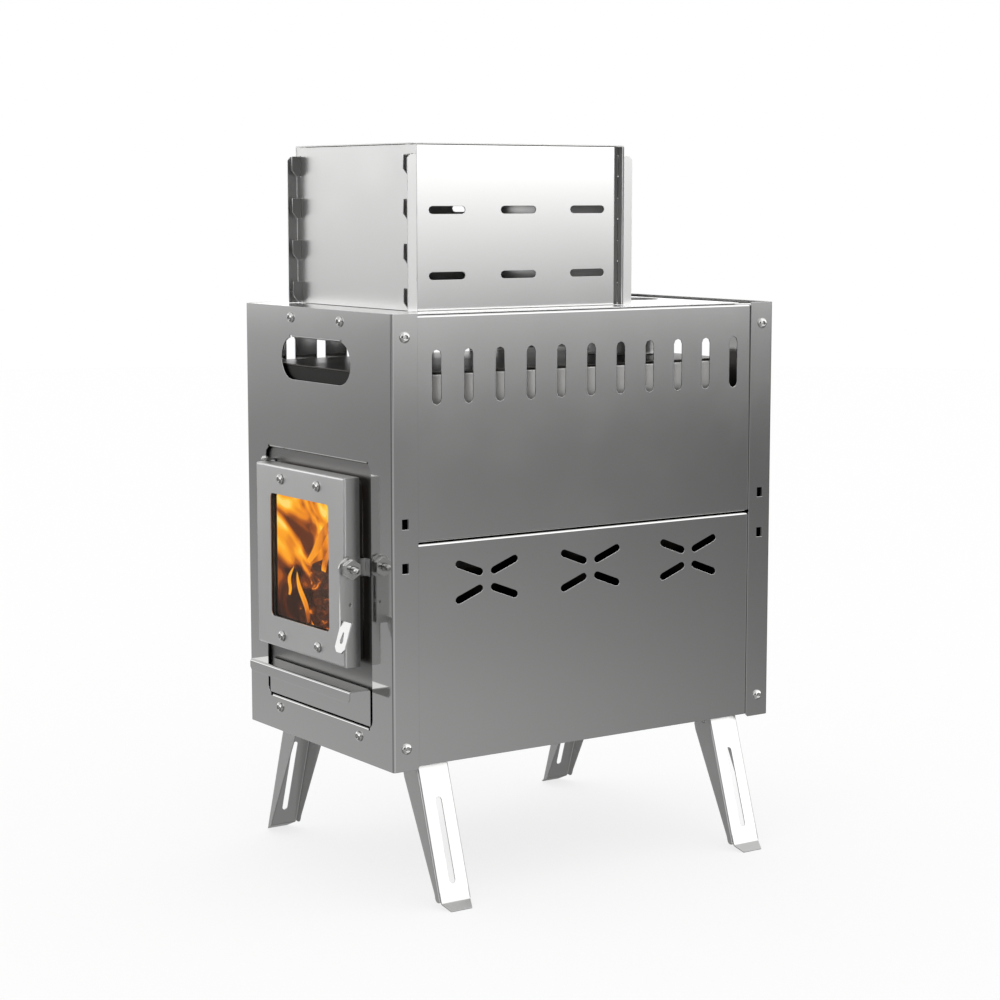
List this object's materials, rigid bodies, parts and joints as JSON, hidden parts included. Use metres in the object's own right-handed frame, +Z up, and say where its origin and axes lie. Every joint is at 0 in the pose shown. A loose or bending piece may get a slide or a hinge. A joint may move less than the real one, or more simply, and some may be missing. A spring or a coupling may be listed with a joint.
{
  "type": "tent wood stove",
  "caption": "Small folded steel wood stove with a glazed door, an ash drawer, slotted shell, folding legs and a slotted hot box on its top plate.",
  "frame": {"origin": "on the floor, under the middle of the stove's outline", "axes": "+Z up; -Y out of the front, where the door is; +X to the door's latch side"},
  "size_m": [0.3128, 0.432, 0.6256],
  "materials": {
    "polished_steel": "polished stainless sheet",
    "satin_steel": "satin stainless sheet",
    "inner_steel": "dull stainless sheet, heat stained",
    "plated_steel": "bright fasteners",
    "grate_iron": "matt black",
    "gasket_fibre": "woven glass fibre tape",
    "heat_glass": "clear heat-proof glass"
  },
  "bodies": {
    "shell": {"front_panel": "polished_steel", "rear_panel": "polished_steel", "side_panel_upper_right": "polished_steel", "side_panel_upper_left": "polished_steel", "side_panel_lower_right": "polished_steel", "side_panel_lower_left": "polished_steel", "top_plate": "polished_steel", "bottom_plate": "satin_steel", "flue_socket": "satin_steel", "door_frame": "satin_steel", "hinge_lug_upper": "satin_steel", "hinge_lug_lower": "satin_steel", "latch_keeper": "satin_steel", "firebox_wall_right": "inner_steel", "firebox_wall_left": "inner_steel", "firebox_floor": "inner_steel", "firebox_front": "inner_steel", "firebox_rear": "inner_steel", "firebox_roof": "inner_steel", "drawer_runner_right": "inner_steel", "drawer_runner_left": "inner_steel", "hinge_pin": "plated_steel", "fire_grate": "grate_iron", "leg_bracket_front_right": "satin_steel", "leg_pin_front_right": "plated_steel", "leg_bracket_front_left": "satin_steel", "leg_pin_front_left": "plated_steel", "leg_bracket_rear_right": "satin_steel", "leg_pin_rear_right": "plated_steel", "leg_bracket_rear_left": "satin_steel", "leg_pin_rear_left": "plated_steel"},
    "door": {"door_panel": "satin_steel", "door_glass": "heat_glass", "glass_gasket": "gasket_fibre", "glass_retainer": "inner_steel", "door_screw_upper_left": "plated_steel", "door_screw_lower_left": "plated_steel", "door_screw_upper_right": "plated_steel", "door_screw_lower_right": "plated_steel", "door_knuckle_upper": "satin_steel", "door_knuckle_lower": "satin_steel", "latch_stud": "plated_steel", "latch_washer": "plated_steel", "latch_nut": "plated_steel"},
    "latch": {"latch_lever": "satin_steel"},
    "ash_drawer": {"ash_drawer_front": "polished_steel", "ash_drawer_tray": "inner_steel"},
    "hot_box": {"hot_box_front": "satin_steel", "hot_box_rear": "satin_steel", "hot_box_wall_right": "polished_steel", "hot_box_wall_left": "polished_steel", "hot_box_floor": "inner_steel"},
    "hot_box_lid": {"hot_box_cover": "satin_steel"},
    "front_right_leg": {"leg_front_right": "satin_steel"},
    "front_left_leg": {"leg_front_left": "satin_steel"},
    "rear_right_leg": {"leg_rear_right": "satin_steel"},
    "rear_left_leg": {"leg_rear_left": "satin_steel"}
  },
  "joints": [
    {"name": "door_hinge", "type": "hinge", "parent": "shell", "child": "door", "pos_m": [-0.079, -0.19258, 0.27423], "axis": [0, 0, 1], "range_deg": [-120, 0]},
    {"name": "latch_turn", "type": "hinge", "parent": "door", "child": "latch", "pos_m": [0.0775, -0.20158, 0.27923], "axis": [1, 0, 0], "range_deg": [-100, 0]},
    {"name": "ash_drawer_slide", "type": "slide", "parent": "shell", "child": "ash_drawer", "axis": [0, -1, 0], "range_m": [0, 0.25]},
    {"name": "hot_box_lift", "type": "slide", "parent": "shell", "child": "hot_box", "axis": [0, 0, 1], "range_m": [0, 0.1]},
    {"name": "hot_box_cover_lift", "type": "slide", "parent": "hot_box", "child": "hot_box_lid", "axis": [0, 0, 1], "range_m": [0, 0.04]},
    {"name": "front_right_leg_fold", "type": "hinge", "parent": "shell", "child": "front_right_leg", "pos_m": [0.1038, -0.14258, 0.11123], "axis": [0, 1, 0], "range_deg": [0, 92]},
    {"name": "front_left_leg_fold", "type": "hinge", "parent": "shell", "child": "front_left_leg", "pos_m": [-0.1038, -0.14258, 0.11123], "axis": [0, -1, 0], "range_deg": [0, 105]},
    {"name": "rear_right_leg_fold", "type": "hinge", "parent": "shell", "child": "rear_right_leg", "pos_m": [0.1038, 0.16942, 0.11123], "axis": [0, 1, 0], "range_deg": [0, 92]},
    {"name": "rear_left_leg_fold", "type": "hinge", "parent": "shell", "child": "rear_left_leg", "pos_m": [-0.1038, 0.16942, 0.11123], "axis": [0, -1, 0], "range_deg": [0, 105]}
  ]
}
